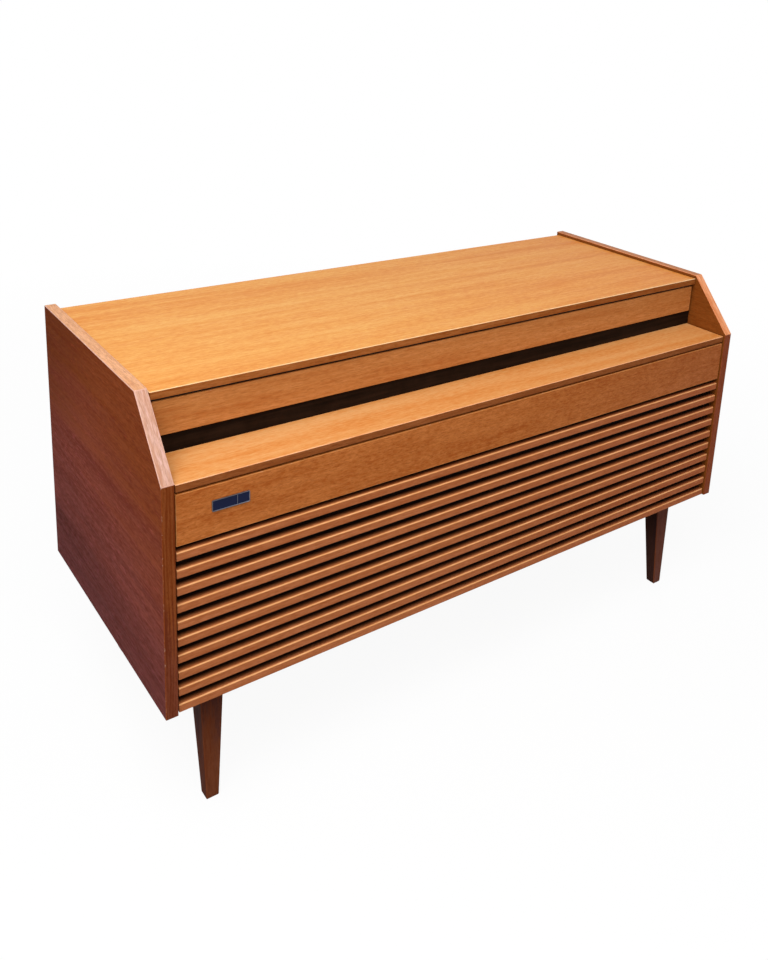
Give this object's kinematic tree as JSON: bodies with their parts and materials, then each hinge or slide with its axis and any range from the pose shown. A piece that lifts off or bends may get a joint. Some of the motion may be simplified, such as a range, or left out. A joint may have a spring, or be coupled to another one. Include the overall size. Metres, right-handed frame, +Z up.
{
  "type": "gramophone cabinet",
  "caption": "Low teak record-player cabinet with a lift-up lid over a record deck and radio panel, a slatted loudspeaker front and tapered splayed legs.",
  "frame": {"origin": "on the floor under the middle of the cabinet", "axes": "+X to the right as seen from the front, -Y the louvred front, +Z up"},
  "size_m": [1.07, 0.444, 0.597],
  "materials": {
    "side_veneer": "satin oiled veneer",
    "top_veneer": "satin oiled veneer",
    "front_veneer": "satin oiled veneer",
    "slat_teak": "satin oiled solid wood",
    "leg_wood": "satin stained hardwood",
    "rail_wood": "plain hardwood",
    "black_paint": "matt black paint on wood",
    "plywood": "plain plywood",
    "hardboard": "oil tempered hardboard",
    "plate_enamel": "navy enamel with a bright rim",
    "socket_plastic": "moulded",
    "speaker_cloth": "woven cloth",
    "speaker_black": "satin black",
    "deck_enamel": "satin cream enamel",
    "bright_steel": "polished",
    "motor_paint": "satin grey",
    "platter_alloy": "turned",
    "mat_rubber": "ribbed rubber",
    "arm_black": "moulded",
    "arm_ivory": "moulded",
    "lever_ivory": "moulded",
    "panel_gold": "brushed gold anodised",
    "scale_gloss": "printed on the back",
    "pointer_red": "moulded",
    "knob_ivory": "moulded with a bright cap",
    "button_ivory": "moulded",
    "chassis_steel": "zinc plated sheet",
    "brass_plate": "lacquered"
  },
  "bodies": {
    "case": {"left_side_panel": "side_veneer", "right_side_panel": "side_veneer", "bottom_board": "plywood", "deck_board": "plywood", "ledge_board": "top_veneer", "front_fascia": "front_veneer", "nameplate": "plate_enamel", "recess_rail": "black_paint", "rear_rail": "rail_wood", "back_panel": "hardboard", "socket_plate": "socket_plastic", "grille_frame": "black_paint", "speaker_cloth": "speaker_cloth", "left_baffle": "plywood", "right_baffle": "plywood", "left_speaker": "speaker_black", "right_speaker": "speaker_black", "front_left_leg": "leg_wood", "front_right_leg": "leg_wood", "rear_left_leg": "leg_wood", "rear_right_leg": "leg_wood", "deck_plate": "deck_enamel", "spindle": "bright_steel", "deck_motor": "motor_paint", "arm_pedestal": "arm_black", "arm_rest": "bright_steel", "control_panel": "panel_gold", "tuning_scale": "scale_gloss", "radio_chassis": "chassis_steel", "case_hinge_leaf": "brass_plate", "stay_guide": "brass_plate", "slat_1": "slat_teak", "slat_2": "slat_teak", "slat_3": "slat_teak", "slat_4": "slat_teak", "slat_5": "slat_teak", "slat_6": "slat_teak", "slat_7": "slat_teak", "slat_8": "slat_teak", "slat_9": "slat_teak", "slat_10": "slat_teak"},
    "lid": {"lid_board": "top_veneer", "lid_strip": "front_veneer", "lid_hinge_leaf": "brass_plate", "stay_quadrant": "brass_plate"},
    "platter": {"platter": "platter_alloy", "platter_mat": "mat_rubber"},
    "arm_turret": {"arm_turret": "bright_steel"},
    "tonearm": {"tonearm": "arm_ivory"},
    "speed_lever": {"speed_lever": "lever_ivory"},
    "start_slide": {"start_slide": "lever_ivory"},
    "dial_pointer": {"dial_pointer": "pointer_red"},
    "tuning_knob": {"tuning_knob": "knob_ivory"},
    "volume_knob": {"volume_knob": "knob_ivory"},
    "tone_knob": {"tone_knob": "knob_ivory"},
    "balance_knob": {"balance_knob": "knob_ivory"},
    "push_button_1": {"push_button_1": "button_ivory"},
    "push_button_2": {"push_button_2": "button_ivory"},
    "push_button_3": {"push_button_3": "button_ivory"},
    "push_button_4": {"push_button_4": "button_ivory"}
  },
  "joints": [
    {"name": "lid_hinge", "type": "hinge", "parent": "case", "child": "lid", "pos_m": [0, 0.2186, 0.57925], "axis": [-1, 0, 0], "range_deg": [0, 70]},
    {"name": "platter_spin", "type": "hinge", "parent": "case", "child": "platter", "pos_m": [-0.3305, 0.03415, 0.4995], "axis": [0, 0, -1], "continuous": true},
    {"name": "arm_swing", "type": "hinge", "parent": "case", "child": "arm_turret", "pos_m": [-0.1655, 0.1293, 0.4955], "axis": [0, 0, -1], "range_deg": [0, 43]},
    {"name": "arm_lift", "type": "hinge", "parent": "arm_turret", "child": "tonearm", "pos_m": [-0.1655, 0.1293, 0.5145], "axis": [-1, 0, 0], "range_deg": [0, 12]},
    {"name": "speed_select", "type": "hinge", "parent": "case", "child": "speed_lever", "pos_m": [-0.2185, -0.085, 0.4835], "axis": [0, 0, 1], "range_deg": [-30, 30]},
    {"name": "start_travel", "type": "slide", "parent": "case", "child": "start_slide", "axis": [1, 0, 0], "range_m": [0, 0.018], "stiffness_N_per_m": 30},
    {"name": "tuning_turn", "type": "hinge", "parent": "case", "child": "tuning_knob", "pos_m": [0.4085, -0.061, 0.501], "axis": [0, 0, -1], "range_deg": [0, 1080]},
    {"name": "pointer_slide", "type": "slide", "parent": "case", "child": "dial_pointer", "axis": [1, 0, 0], "range_m": [0, 0.22]},
    {"name": "volume_turn", "type": "hinge", "parent": "case", "child": "volume_knob", "pos_m": [0.3005, -0.061, 0.501], "axis": [0, 0, -1], "range_deg": [0, 270]},
    {"name": "tone_turn", "type": "hinge", "parent": "case", "child": "tone_knob", "pos_m": [0.3005, 0.026, 0.501], "axis": [0, 0, -1], "range_deg": [0, 270]},
    {"name": "balance_turn", "type": "hinge", "parent": "case", "child": "balance_knob", "pos_m": [0.3725, 0.026, 0.501], "axis": [0, 0, -1], "range_deg": [-135, 135]},
    {"name": "button_1_press", "type": "slide", "parent": "case", "child": "push_button_1", "axis": [0, 0, -1], "range_m": [0, 0.004], "stiffness_N_per_m": 250},
    {"name": "button_2_press", "type": "slide", "parent": "case", "child": "push_button_2", "axis": [0, 0, -1], "range_m": [0, 0.004], "stiffness_N_per_m": 250},
    {"name": "button_3_press", "type": "slide", "parent": "case", "child": "push_button_3", "axis": [0, 0, -1], "range_m": [0, 0.004], "stiffness_N_per_m": 250},
    {"name": "button_4_press", "type": "slide", "parent": "case", "child": "push_button_4", "axis": [0, 0, -1], "range_m": [0, 0.004], "stiffness_N_per_m": 250}
  ],
  "couplings": [
    {"joint": "pointer_slide", "follows": "tuning_turn", "m_per_rad": 0.01167}
  ]
}
